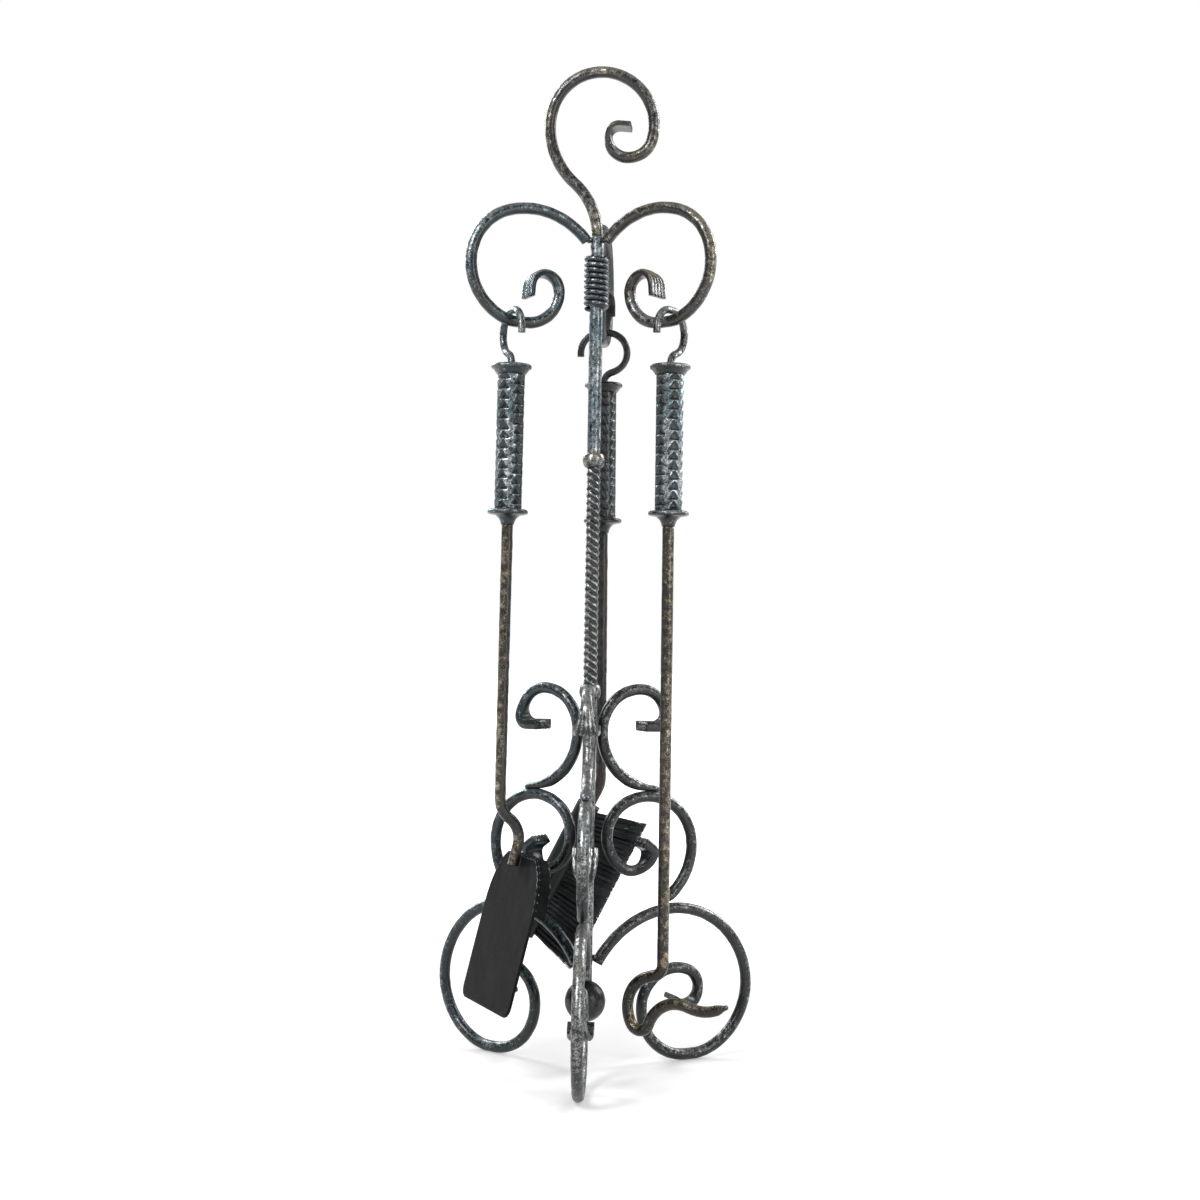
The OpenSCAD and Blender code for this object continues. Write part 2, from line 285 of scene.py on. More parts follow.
def add(tree, kind, **values):
    """A node with its properties and its numbered or named inputs set."""
    node = tree.nodes.new(kind)
    for key, value in values.items():
        if hasattr(node, key):
            setattr(node, key, value)
        else:
            node.inputs[key.replace("_", " ")].default_value = value
    return node


def noise_on(tree, coords, scale, detail=4.0, rough=0.6):
    node = add(tree, "ShaderNodeTexNoise", Scale=scale, Detail=detail, Roughness=rough)
    tree.links.new(coords, node.inputs["Vector"])
    return node.outputs["Fac"]


def ramp(tree, fac, stops):
    """A colour ramp with (place, colour) stops; a colour may be one grey number."""
    node = tree.nodes.new("ShaderNodeValToRGB")
    while len(node.color_ramp.elements) < len(stops):
        node.color_ramp.elements.new(0.5)
    for element, (place, colour) in zip(node.color_ramp.elements, stops):
        element.position = place
        rgb = (colour,) * 3 if isinstance(colour, (int, float)) else colour
        element.color = (*rgb, 1.0)
    tree.links.new(fac, node.inputs["Fac"])
    return node.outputs["Color"]


def mix_colour(tree, fac, a, b):
    node = tree.nodes.new("ShaderNodeMix")
    node.data_type = "RGBA"
    for socket, value in ((node.inputs[0], fac), (node.inputs[6], a), (node.inputs[7], b)):
        if isinstance(value, bpy.types.NodeSocket):
            tree.links.new(value, socket)
        elif isinstance(value, tuple):
            socket.default_value = (*value, 1.0)
        else:
            socket.default_value = value
    return node.outputs[2]


def maths(tree, operation, a, b=0.0):
    node = tree.nodes.new("ShaderNodeMath")
    node.operation = operation
    for socket, value in ((node.inputs[0], a), (node.inputs[1], b)):
        if isinstance(value, bpy.types.NodeSocket):
            tree.links.new(value, socket)
        else:
            socket.default_value = value
    return node.outputs[0]


def bump(tree, shader, height, strength, distance):
    node = add(tree, "ShaderNodeBump", Strength=strength, Distance=distance)
    tree.links.new(height, node.inputs["Height"])
    tree.links.new(node.outputs["Normal"], shader.inputs["Normal"])


def outward(tree, coords, geo):
    """How far a surface faces away from the post, -1 to 1: it lightens the outer sides, partly as rubbed
    wear and partly as a painted highlight.
    """
    flat = tree.nodes.new("ShaderNodeVectorMath")
    flat.operation = "MULTIPLY"
    flat.inputs[1].default_value = (1.0, 1.0, 0.0)
    tree.links.new(coords, flat.inputs[0])
    unit = tree.nodes.new("ShaderNodeVectorMath")
    unit.operation = "NORMALIZE"
    tree.links.new(flat.outputs[0], unit.inputs[0])
    facing = tree.nodes.new("ShaderNodeVectorMath")
    facing.operation = "DOT_PRODUCT"
    tree.links.new(unit.outputs[0], facing.inputs[0])
    tree.links.new(geo.outputs["Normal"], facing.inputs[1])
    return facing.outputs["Value"]


def iron(name, tint, cool, warm, cover=0.685, marks=130.0, gloss=0.22, bumpy=0.4,
         sheen=0.5):
    """Blackened forged iron: dark oxide, hammer marks, rubbed metal, and a painted highlight on the upper
    and outer sides.

    tint is the oxide's lighter tone, cool and warm the two colours of the rubbed metal and of the painted
    highlight; a higher cover leaves less metal bare and less painted highlight.
    """
    mat, tree, shader = node_material(name)
    geo = tree.nodes.new("ShaderNodeNewGeometry")
    coords = tree.nodes.new("ShaderNodeTexCoord").outputs["Object"]
    broad = noise_on(tree, coords, 24.0, 3.0)
    streak = noise_on(tree, coords, 260.0, 4.0, 0.6)
    fine = noise_on(tree, coords, 900.0, 4.0, 0.65)
    cell = add(tree, "ShaderNodeTexVoronoi", feature="SMOOTH_F1", Scale=marks, Smoothness=0.5)
    tree.links.new(coords, cell.inputs["Vector"])
    oxide = ramp(tree, broad, [(0.40, (0.006, 0.0065, 0.007)), (0.62, tint)])
    metal = mix_colour(tree, ramp(tree, broad, [(0.42, 0.0), (0.58, 1.0)]), cool, warm)
    up = tree.nodes.new("ShaderNodeSeparateXYZ")
    tree.links.new(geo.outputs["Normal"], up.inputs[0])
    proud = tree.nodes.new("ShaderNodeAttribute")
    proud.attribute_name = "raised"
    wear_and_highlight = maths(tree, "ADD", maths(tree, "MULTIPLY", fine, 0.45), maths(tree, "MULTIPLY", streak, 0.45))
    # Upward-facing surfaces turn lighter here: a painted highlight, as if lit from above.
    wear_and_highlight = maths(tree, "ADD", wear_and_highlight, maths(tree, "MULTIPLY", up.outputs[2], 0.13))
    # Outward-facing surfaces turn lighter here: partly rubbed wear, partly a painted highlight.
    wear_and_highlight = maths(tree, "ADD", wear_and_highlight, maths(tree, "MULTIPLY", outward(tree, coords, geo), 0.09))
    # Proud points are rubbed bright; on the pan's wall the same attribute carries a painted highlight
    # along the rim and fold.
    wear_and_highlight = maths(tree, "ADD", wear_and_highlight, maths(tree, "MULTIPLY", proud.outputs["Fac"], 0.20))
    # Past cover the colour turns to bright metal: rubbed wear and painted highlight together.
    rub_and_highlight = ramp(tree, wear_and_highlight, [(cover - 0.11, 0.0), (cover, 0.45), (min(1.0, cover + 0.09), 1.0)])
    tree.links.new(mix_colour(tree, rub_and_highlight, oxide, metal), shader.inputs["Base Color"])
    tree.links.new(ramp(tree, rub_and_highlight, [(0.0, 0.1), (0.6, 0.95)]), shader.inputs["Metallic"])
    tree.links.new(ramp(tree, fine, [(0.3, gloss), (0.7, gloss + 0.16)]), shader.inputs["Roughness"])
    shader.inputs["Specular IOR Level"].default_value = sheen
    height = maths(tree, "ADD", cell.outputs["Distance"], maths(tree, "MULTIPLY", fine, 0.25))
    bump(tree, shader, height, bumpy, 0.0012)
    return mat


# Rubbed-metal colours; they also colour the painted highlight on upper and outer sides.
SILVER = (0.66, 0.70, 0.73)
TEAL = (0.38, 0.54, 0.60)
TAN = (0.62, 0.56, 0.44)
GOLD = (0.56, 0.45, 0.28)
FORGED = iron("forged_iron", (0.018, 0.022, 0.025), SILVER, (0.58, 0.58, 0.55), cover=0.695)
TEAL_IRON = iron("teal_iron", (0.014, 0.026, 0.032), TEAL, SILVER)
BROWN_IRON = iron("brown_iron", (0.028, 0.023, 0.017), SILVER, TAN, cover=0.675)
GRIP_IRON = iron("hammered_iron", (0.010, 0.020, 0.024), (0.34, 0.48, 0.52), SILVER, cover=0.655,
                 marks=210.0, gloss=0.20, bumpy=0.25)
BRONZED = iron("bronzed_iron", (0.028, 0.020, 0.011), GOLD, TAN, cover=0.71, marks=180.0)
WIRE_IRON = iron("wire_iron", (0.012, 0.016, 0.026), (0.34, 0.40, 0.50), (0.55, 0.58, 0.62), cover=0.82)
# On the pan these metal colours show almost only as the painted highlight on the wall's rim and fold.
SHEET = iron("black_sheet", (0.004, 0.004, 0.005), (0.34, 0.40, 0.46), (0.30, 0.31, 0.32), cover=0.90,
             marks=60.0, gloss=0.50, bumpy=0.25, sheen=0.12)
DARK_BALL = iron("ball_iron", (0.010, 0.012, 0.014), (0.22, 0.24, 0.27), (0.26, 0.26, 0.26), cover=0.84)


def block_material():
    """Smooth dark painted wood with a faint grain along the block."""
    mat, tree, shader = node_material("brush_block_wood")
    coords = tree.nodes.new("ShaderNodeTexCoord").outputs["Object"]
    stretch = add(tree, "ShaderNodeMapping", Scale=(160.0, 160.0, 14.0), Rotation=(0.0, 0.45, 0.0))
    tree.links.new(coords, stretch.inputs["Vector"])
    grain = noise_on(tree, stretch.outputs[0], 1.0, 5.0)
    cloud = noise_on(tree, coords, 40.0, 3.0)
    colour = mix_colour(tree, cloud, (0.006, 0.008, 0.008), (0.016, 0.021, 0.020))
    tree.links.new(colour, shader.inputs["Base Color"])
    tree.links.new(ramp(tree, grain, [(0.3, 0.32), (0.7, 0.46)]), shader.inputs["Roughness"])
    shader.inputs["Specular IOR Level"].default_value = 0.3
    shader.inputs["Coat Weight"].default_value = 0.12
    shader.inputs["Coat Roughness"].default_value = 0.3
    bump(tree, shader, grain, 0.45, 0.0005)
    return mat


def bristle_material():
    """Coarse black fibre with a blue-green sheen, lighter in some tufts."""
    mat, tree, shader = node_material("bristle_fibre")
    coords = tree.nodes.new("ShaderNodeTexCoord").outputs["Object"]
    cloud = noise_on(tree, coords, 90.0, 3.0)
    fleck = noise_on(tree, coords, 700.0, 2.0)
    base = ramp(tree, cloud, [(0.35, (0.008, 0.009, 0.010)), (0.7, (0.024, 0.032, 0.036))])
    tuft = tree.nodes.new("ShaderNodeAttribute")
    tuft.attribute_name = "raised"
    light = maths(tree, "MULTIPLY", maths(tree, "ADD", fleck, -0.2), tuft.outputs["Fac"])
    colour = mix_colour(tree, light, base, (0.085, 0.12, 0.14))
    tree.links.new(colour, shader.inputs["Base Color"])
    tree.links.new(ramp(tree, fleck, [(0.3, 0.38), (0.7, 0.6)]), shader.inputs["Roughness"])
    shader.inputs["Sheen Weight"].default_value = 0.3
    shader.inputs["Sheen Roughness"].default_value = 0.45
    bump(tree, shader, fleck, 0.3, 0.0002)
    return mat


WOOD = block_material()
FIBRE = bristle_material()


# ---- Stand ----

def scroll(name, start, arcs, angle, material, outer=1.0, lift=0.0, seed=0, root=0.0, end_t=TAIL_T):
    verts, faces, raised = bar_mesh(trace(start, arcs), BAR_R, TAIL_LEN, root, outer, seed, end_t=end_t)
    new_piece(name + "_bar", turned(verts, angle, lift), faces, "stand", [name], material,
              raised)


def make_arms():
    looks = {"right": BROWN_IRON, "rear": FORGED, "left": TEAL_IRON}
    for seed, (side, angle) in enumerate(ARMS.items()):
        scroll(f"arm_{side}", ARM_START, ARM_OUT + ARM_IN, angle, looks[side], seed=11 + seed)


def make_legs():
    looks = {"front": FORGED, "right": FORGED, "left": TEAL_IRON}
    foot_low = path_end(FOOT_START, FOOT[:-1])[1]
    lift = BAR_R - foot_low
    for seed, (side, angle) in enumerate(LEGS.items()):
        look = looks[side]
        scroll(f"leg_{side}_upper", UPPER_START, UPPER, angle, look, seed=21 + seed, root=ROOT_LEN,
               end_t=SCROLL_END_T)
        scroll(f"leg_{side}_middle", MIDDLE_START, MIDDLE, angle, look, outer=-1.0, seed=31 + seed,
               root=ROOT_LEN / 2, end_t=SCROLL_END_T)
        scroll(f"leg_{side}_foot", FOOT_START, FOOT + FOOT_CURL, angle, look, lift=lift, seed=41 + seed)


def make_post():
    """Round ends, and the twisted square bar between the two collars."""
    up = [(0.01, COLLAR_HIGH_Z), (POST_D / 2, COLLAR_HIGH_Z)]
    up += [(POST_D / 2, COLLAR_HIGH_Z + k * 3.0) for k in range(1, 60)]
    up += [(POST_D / 2, POST_TOP - 0.6), (POST_D / 2 - 0.8, POST_TOP), (0.01, POST_TOP)]
    verts, faces = lathe(up, 32, 0.22, 3)
    new_piece("post_upper_bar", turned(verts, 0), faces, "stand", ["post_upper"], TEAL_IRON)
    base = BALL_Z + BALL_D / 2 - 1
    low = [(0.01, base), (POST_D / 2, base)]
    low += [(POST_D / 2, base + k * 3.0) for k in range(1, 77)]
    low += [(POST_D / 2, COLLAR_LOW_Z), (0.01, COLLAR_LOW_Z)]
    verts, faces = lathe(low, 32, 0.3, 4)
    new_piece("post_lower_bar", turned(verts, 0), faces, "stand", ["post_lower"], FORGED)
    bottom, top = COLLAR_LOW_Z + COLLAR_H / 2 - 1, COLLAR_HIGH_Z - COLLAR_H / 2 + 1
    rings = int((top - bottom) / 0.6)
    sides = 40
    verts, raised = [], []
    for i in range(rings + 1):
        z = bottom + (top - bottom) * i / rings
        spin = -2 * math.pi * (z - bottom) / TWIST_PITCH
        for k in range(sides):
            a = 2 * math.pi * k / sides
            c, s = math.cos(a), math.sin(a)
            r = TWIST_SIDE / 2 * (abs(c) ** 5 + abs(s) ** 5) ** (-1 / 5)
            r += dent((r * c, r * s, z), 5, 7.0, 0.2)
            verts.append((r * math.cos(a + spin), r * math.sin(a + spin), z))
            raised.append(min(1.0, max(0.0, (r - TWIST_SIDE / 2) / 1.3)) ** 1.5 * 1.2 - 0.1)
    new_piece("post_twist_bar", turned(verts, 0), tube_faces(rings + 1, sides), "stand", ["post_twist"],
              FORGED, raised)


def make_collars():
    collars = (("collar_upper", COLLAR_HIGH_Z, BROWN_IRON), ("collar_lower", COLLAR_LOW_Z, FORGED))
    for name, z, look in collars:
        steps = 18
        profile = [(0.01, -1.0)]
        for i in range(steps + 1):
            a = math.pi * i / steps
            profile.append((0.62 + 0.38 * math.sin(a) ** 0.8, -math.cos(a)))
        profile.append((0.01, 1.0))
        points = [(r * COLLAR_D / 2 * 0.985, z + h * COLLAR_H / 2 * 0.99) for r, h in profile]
        verts, faces = lathe(points, 48, 0.55 if name == "collar_lower" else 0.3, 6)
        new_piece(name + "_bead", turned(verts, 0), faces, "stand", [name], look)


def make_wire_wrap():
    """One wire wound in a helix round the post, as wide as the CAD's stack of rings."""
    r_mid = (POST_D + WIRE_D) / 2
    pitch = WIRE_D * 0.97
    top = POST_TOP - WRAP_DROP - WIRE_D / 2 - 0.1
    length = pitch * (WIRE_TURNS - 1) - 0.4
    steps = WIRE_TURNS * 44
    sides = 14
    verts, raised = [], []
    for i in range(steps + 1):
        share = i / steps
        a = 2 * math.pi * (WIRE_TURNS - 0.6) * share
        z = top - length * share
        ease = min(1.0, (1 - abs(2 * share - 1)) * 40)
        wire = WIRE_D / 2 * (0.7 + 0.28 * ease)
        for k in range(sides):
            b = 2 * math.pi * k / sides
            r = r_mid + wire * math.cos(b) * 0.98
            verts.append((r * math.cos(a), r * math.sin(a), z + wire * math.sin(b) * 0.99))
            raised.append(max(0.0, math.cos(b)) ** 3 * 1.3 - 0.1)
    new_piece("wire_helix", turned(verts, 35), tube_faces(steps + 1, sides), "stand", ["wire_wrap"],
              WIRE_IRON, raised)


def sphere_profile(steps):
    """A unit sphere's profile (r, z) from the bottom to the top, for lathe."""
    profile = [(0.01, -1.0)]
    for i in range(1, steps):
        a = math.pi * i / steps
        profile.append((math.sin(a), -math.cos(a)))
    return profile + [(0.01, 1.0)]


def make_ball():
    """The ball under the post, faintly dented from hammering."""
    points = [(r * BALL_D / 2, BALL_Z + h * BALL_D / 2) for r, h in sphere_profile(40)]
    verts, faces = lathe(points, 64, 0.3, 8)
    new_piece("ball_forged", turned(verts, 0), faces, "stand", ["ball_finial"], DARK_BALL)


def make_welds():
    """Small weld beads where the scrolls meet the post and each other."""
    beads = [(f"arm_{side}", ARM_WELD, angle) for side, angle in ARMS.items()]
    for side, angle in LEGS.items():
        beads.append((f"foot_{side}", FOOT_WELD, angle))
        beads.append((f"middle_{side}", MIDDLE_WELD, angle))
        beads.append((f"upper_{side}", UPPER_WELD, angle))
    profile = sphere_profile(12)
    for name, (x, z, r), angle in beads:
        verts, faces = lathe([(p * r, h * r * 0.8) for p, h in profile], 20, 0.5, 9)
        verts = [(x + vx, vy, z + vz) for vx, vy, vz in verts]
        new_piece("weld_" + name, turned(verts, angle), faces, "stand", [], TEAL_IRON)


# ---- Tools, drawn about the arm's seat as the CAD does ----

HOOK_R = HOOK_IN_R + HOOK_D / 2
HOOK_Z = 5.0 + CLEAR - HOOK_IN_R
HOOK_TURN = 75.0
COS_HOOK = math.cos(math.radians(HOOK_TURN))
SIN_HOOK = math.sin(math.radians(HOOK_TURN))
NECK_BEND = (CROWN_LEN / 2 + HOOK_R * COS_HOOK) / (1 - COS_HOOK)
FLANGE_Z = HOOK_Z - (HOOK_R + NECK_BEND) * SIN_HOOK
GRIP_Z = FLANGE_Z - FLANGE_H - CONE_H
FERRULE_Z = GRIP_Z - GRIP_LEN
ROD_Z = FERRULE_Z - FLANGE_H - FERRULE_H
PIVOT_Z = HOOK_Z + HOOK_R
ARM_SEAT = path_end(ARM_START, ARM_OUT[:-1])
SEAT_R = ARM_SEAT[0] + SEAT_LEN / 2
SEAT_Z = ARM_SEAT[1]


def turn(axis, degrees):
    return Matrix.Rotation(math.radians(degrees), 4, axis)


def shift(x, y, z):
    return Matrix.Translation((x, y, z))


def on_arm(angle, hang):
    """The matrix of a tool on the arm at an angle, turned outwards about its hook's crown."""
    return (turn("Z", angle) @ shift(SEAT_R, 0, SEAT_Z + PIVOT_Z) @ turn("Y", -hang)
            @ shift(0, 0, -PIVOT_Z))


def on_brush():
    return on_arm(ARMS["rear"], 0) @ turn("X", BRUSH_HANG)


def make_hook(tool, matrix, side, material):
    """The eye that hangs on the arm: one bent wire from its tip round to the grip."""
    half = CROWN_LEN / 2
    start = (half + HOOK_R, HOOK_Z - 3, 90.0)
    arcs = [(0, 3), (HOOK_R, 90), (0, CROWN_LEN), (HOOK_R, 90 + HOOK_TURN), (NECK_BEND, -HOOK_TURN)]
    stations = trace(start, arcs, 1.0)
    verts, faces, raised = bar_mesh(stations, HOOK_D / 2 - 0.08, seed=50, sides=20)
    new_piece(f"{tool}_hook_wire", placed(verts, matrix @ turn("Z", side * 90)), faces, tool,
              [f"{tool}_hook"], material, raised)


def make_discs(tool, matrix, material):
    """The two thin flanges with rolled rims, and the trumpet below the lower one."""
    r = FLANGE_D / 2
    top = [(0.01, GRIP_Z), (GRIP_D / 2 + 0.6, GRIP_Z), (GRIP_D / 2 + 2.0, GRIP_Z + 2.2),
           (r - 1.6, GRIP_Z + CONE_H), (r - 0.4, GRIP_Z + CONE_H + 0.6), (r - 0.05, GRIP_Z + CONE_H + 1.6),
           (r - 0.3, FLANGE_Z - 1.0), (r - 1.4, FLANGE_Z - 0.2), (r - 3.4, FLANGE_Z - 0.5),
           (5.5, FLANGE_Z - 0.9), (4.2, FLANGE_Z - 0.05), (0.01, FLANGE_Z - 0.02)]
    verts, faces = lathe(top, 56, 0.18, 12)
    new_piece(f"{tool}_flange_disc", placed(verts, matrix), faces, tool, [f"{tool}_flange"], material)
    low = [(0.01, ROD_Z), (ROD_D / 2 + 0.5, ROD_Z), (ROD_D / 2 + 1.0, ROD_Z + 2.5),
           (ROD_D / 2 + 2.4, ROD_Z + 5.0), (ROD_D / 2 + 5.0, ROD_Z + 7.2), (r - 1.6, ROD_Z + FERRULE_H),
           (r - 0.3, ROD_Z + FERRULE_H + 0.7), (r - 0.05, ROD_Z + FERRULE_H + 1.7),
           (r - 0.4, FERRULE_Z - 0.9), (r - 1.6, FERRULE_Z - 0.1), (0.01, FERRULE_Z)]
    verts, faces = lathe(low, 56, 0.18, 13)
    new_piece(f"{tool}_ferrule_cone", placed(verts, matrix), faces, tool, [f"{tool}_ferrule"], material)


def make_grip(tool, matrix, seed, material):
    """A hammered grip: staggered columns of wedge-shaped chisel dents between raised facets."""
    sides, pitch = 96, 0.7
    rings = int(GRIP_LEN / pitch)
    columns, row, depth = 5, 7.8, 2.3
    radius = GRIP_D / 2
    verts, raised = [], []
    for i in range(rings + 1):
        z = FERRULE_Z + GRIP_LEN * i / rings
        for k in range(sides):
            a = 2 * math.pi * k / sides
            column = a / (2 * math.pi) * columns + 0.18 * noise.noise(Vector((seed, z * 0.06, 1.0)))
            lane = math.floor(column)
            across = abs(column - lane - 0.5) * 2
            wander = noise.noise(Vector((lane * 3.7 + seed, z * 0.11, seed)))
            along = (z / row + 0.5 * (lane % 2) + 0.16 * wander) % 1.0
            half = 0.95 * (1 - along) ** 0.8
            tooth = smooth((half - across) * 3.2) * smooth(along * 6)
            edge = smooth(min(z - FERRULE_Z, FERRULE_Z + GRIP_LEN - z) / 3.5)
            flat = dent((radius * math.cos(a), radius * math.sin(a), z), seed, 6.0, 0.5)
            r = radius - 0.05 - depth * tooth * edge * (0.75 + 0.5 * wander) + flat
            verts.append((r * math.cos(a), r * math.sin(a), z))
            raised.append(1.35 * (1 - tooth) + flat * 1.6 - 0.35)
    new_piece(f"{tool}_grip_hammered", placed(verts, matrix), tube_faces(rings + 1, sides), tool,
              [f"{tool}_grip"], material, raised)


def make_rod(tool, matrix, arcs, seed):
    stations = trace((0.0, ROD_Z + 0.4, -90.0), arcs)
    verts, faces, raised = bar_mesh(stations, ROD_R, seed=seed, sides=24)
    new_piece(f"{tool}_rod_bar", placed(verts, matrix), faces, tool, [f"{tool}_rod"], BRONZED,
              raised)


def make_poker():
    matrix = on_arm(ARMS["right"], POKER_HANG)
    make_hook("poker", matrix, -1, FORGED)
    make_discs("poker", matrix, FORGED)
    make_grip("poker", matrix, 61, GRIP_IRON)
    stations = trace((0.0, ROD_Z, -90.0), POKER_ROD)
    whole = stations[-1][3]
    sides = 24
    verts = []
    for x, z, h, run in stations:
        t, e = smooth(1 - (whole - run) / POINT_TAPER), smooth(1 - (whole - run) / POINT_TIP)
        thick = ROD_R * (1 - 0.1 * t - 0.5 * e)
        broad = ROD_R * (1 - 0.5 * t)
        nx, nz = -math.sin(math.radians(h)), math.cos(math.radians(h))
        for k in range(sides):
            a = 2 * math.pi * (k + 0.5) / sides
            u, v = thick * math.cos(a), broad * math.sin(a)
            mark = 1 + dent((x + u, v, z), 62, 8.0, 0.3) / 5
            verts.append((x + u * nx * mark, v * mark, z + u * nz * mark))
    new_piece("poker_rod_bar", placed(verts, matrix), tube_faces(len(stations), sides), "poker",
              ["poker_rod"], BRONZED)


def pan_outline(m, fine=3.0):
    """The pan's outline inset by m: straight sides, rounded shoulder, rounded front corners."""
    w, c = PAN_W / 2 - m, PAN_CORNER_R
    shoulder = PAN_LEN - m - PAN_SHOULDER
    points = []
    for a in range(270, 361, 15):
        points.append((w - c + c * math.cos(math.radians(a)), c + c * math.sin(math.radians(a))))
    for a in np.arange(0, 70.1, fine):
        x = w * (0.3 + 0.7 * math.cos(math.radians(a)))
        points.append((x, shoulder + PAN_SHOULDER * math.sin(math.radians(a))))
    for a in np.arange(110, 180.1, fine):
        x = -w * (0.3 - 0.7 * math.cos(math.radians(a)))
        points.append((x, shoulder + PAN_SHOULDER * math.sin(math.radians(a))))
    for a in range(180, 271, 15):
        points.append((-w + c + c * math.cos(math.radians(a)), c + c * math.sin(math.radians(a))))
    return points


def rim_points():
    """The pan's walled edge, evenly spaced: up one side, round the shoulder, down the other."""
    dense = [p for p in pan_outline(0) if p[1] > 11.0]
    out = []
    for (ax, ay), (bx, by) in zip(dense, dense[1:]):
        n = max(1, int(round(math.hypot(bx - ax, by - ay) / 1.2)))
        out += [(ax + (bx - ax) * k / n, ay + (by - ay) * k / n) for k in range(n)]
    return out + [dense[-1]]


def pan_wall():
    """The pan's wall: crimped, pinched round the shoulder, with a rounded fold to the floor, and a painted
    highlight along its rim and fold.
    """
    rim = rim_points()
    verts, raised = [], []
    layers = 9
    depth = PAN_WALL_H + PAN_T - 0.05
    run = 0.0
    last = rim[0]
    count = len(rim)
    for i, (px, py) in enumerate(rim):
        run += math.hypot(px - last[0], py - last[1])
        last = (px, py)
        ax, ay = rim[max(0, i - 1)]
        bx, by = rim[min(count - 1, i + 1)]
        length = math.hypot(bx - ax, by - ay)
        nx, ny = (by - ay) / length, -(bx - ax) / length
        upper = smooth((py - 45) / 30)
        crimp = 0.35 * math.sin(run * 2 * math.pi / 13.0) + 0.3 * math.sin(run * 2 * math.pi / 5.3 + 1.0)
        pinch = upper * (0.5 + 0.5 * math.sin(run * 2 * math.pi / 6.2))
        # glint is a painted highlight on the rim and fold edges, stronger round the shoulder where the
        # sheet is not pinched.
        glint = 1.6 + 1.6 * noise.noise(Vector((run * 0.21, 4.0, 0.0))) + 0.8 * (1 - pinch) * upper
        for k in range(layers):
            t = k / (layers - 1)
            x = -t * depth if k else -0.05
            inset = PAN_FOLD * (1 - smooth(t * 4)) + (0.5 + crimp) * smooth(t * 1.4 - 0.2) * 0.8 + 0.1
            inset = max(0.05, inset + 1.3 * pinch * (1 - t))
            verts.append((x, px - nx * inset, py - ny * inset))
            # The fold and rim layers take the painted highlight; the layers between stay dark.
            raised.append(glint if k in (0, 1, layers - 1) else 0.1)
        for k in range(layers - 1, -1, -1):
            t = k / (layers - 1)
            x = min(-PAN_T, -t * depth)
            inset = 1.5 * (1 - smooth(t * 3)) + (0.5 + crimp) * smooth(t * 1.4 - 0.2) * 0.8 + 0.1 + 1.3
            verts.append((x, px - nx * inset, py - ny * inset))
            raised.append(glint if k == layers - 1 else 0.0)
    return verts, tube_faces(count, 2 * layers), raised


def make_pan(matrix, end):
    """The sheet pan on the rod's end: its wall and its floor."""
    at_pan = (matrix @ shift(end[0], 0, end[1]) @ turn("Y", -PAN_TILT)
              @ shift(-ROD_D / 2 - CLEAR / 3, 0, PAN_SOCKET - PAN_LEN))
    verts, faces, raised = pan_wall()
    new_piece("shovel_pan_wall", placed(verts, at_pan), faces, "shovel", [], SHEET, raised)
    verts, faces = pan_floor()
    new_piece("shovel_pan_sheet", placed(verts, at_pan), faces, "shovel", ["shovel_pan"], SHEET)


def pan_floor():
    """The pan's floor sheet as a grid, dented round the shoulder, with its two faces joined."""
    columns, rows = 52, 64
    verts, faces = [], []
    outline = pan_outline(0.7)

    def half_width(y):
        best = 0.0
        for (ax, ay), (bx, by) in zip(outline, outline[1:] + outline[:1]):
            if (ay - y) * (by - y) <= 0 and ay != by:
                best = max(best, ax + (bx - ax) * (y - ay) / (by - ay))
        return best

    top = PAN_LEN - 0.8
    for face in (0, 1):
        for i in range(rows + 1):
            y = 0.15 + (top * 0.995 - 0.15 - 2.6) * i / rows
            w = max(1.0, half_width(y))
            for j in range(columns + 1):
                s = 2 * j / columns - 1
                x = w * s
                mark = dent((x, y, 0), 71, 13.0, 0.55) * smooth((y - 70) / 35)
                ridge = 0.35 * noise.noise(Vector((x * 0.05, y * 0.05, 3.0)))
                depth = -0.1 + mark + min(0.0, ridge)
                if face:
                    depth = -PAN_T + 0.1 + mark + min(0.0, ridge)
                verts.append((depth, x, y))
    size = (rows + 1) * (columns + 1)
    for i in range(rows):
        for j in range(columns):
            a = i * (columns + 1) + j
            faces.append((a, a + 1, a + columns + 2, a + columns + 1))
            faces.append((a + size + columns + 1, a + size + columns + 2, a + size + 1, a + size))
    edge = list(range(columns + 1))
    edge += [i * (columns + 1) + columns for i in range(1, rows + 1)]
    edge += [rows * (columns + 1) + j for j in range(columns - 1, -1, -1)]
    edge += [i * (columns + 1) for i in range(rows - 1, 0, -1)]
    for a, b in zip(edge, edge[1:] + edge[:1]):
        faces.append((a, a + size, b + size, b))
    return verts, faces


def make_shovel():
    matrix = on_arm(ARMS["left"], SHOVEL_HANG)
    make_hook("shovel", matrix, 1, TEAL_IRON)
    make_discs("shovel", matrix, TEAL_IRON)
    make_grip("shovel", matrix, 62, GRIP_IRON)
    make_rod("shovel", matrix, SHOVEL_ROD, 63)
    make_pan(matrix, path_end((0.0, ROD_Z, -90.0), SHOVEL_ROD))


def make_brush():
    matrix = on_brush()
    make_hook("brush", matrix, 1, FORGED)
    make_discs("brush", matrix, FORGED)
    make_grip("brush", matrix, 64, GRIP_IRON)
    make_rod("brush", matrix @ turn("Z", -90), BRUSH_ROD, 65)
    end = path_end((0.0, ROD_Z, -90.0), BRUSH_ROD)
    at_block = matrix @ turn("Z", -90) @ shift(end[0], 0, end[1]) @ turn("Y", BLOCK_LEAN)
    make_block(at_block)
    make_bristles(at_block)


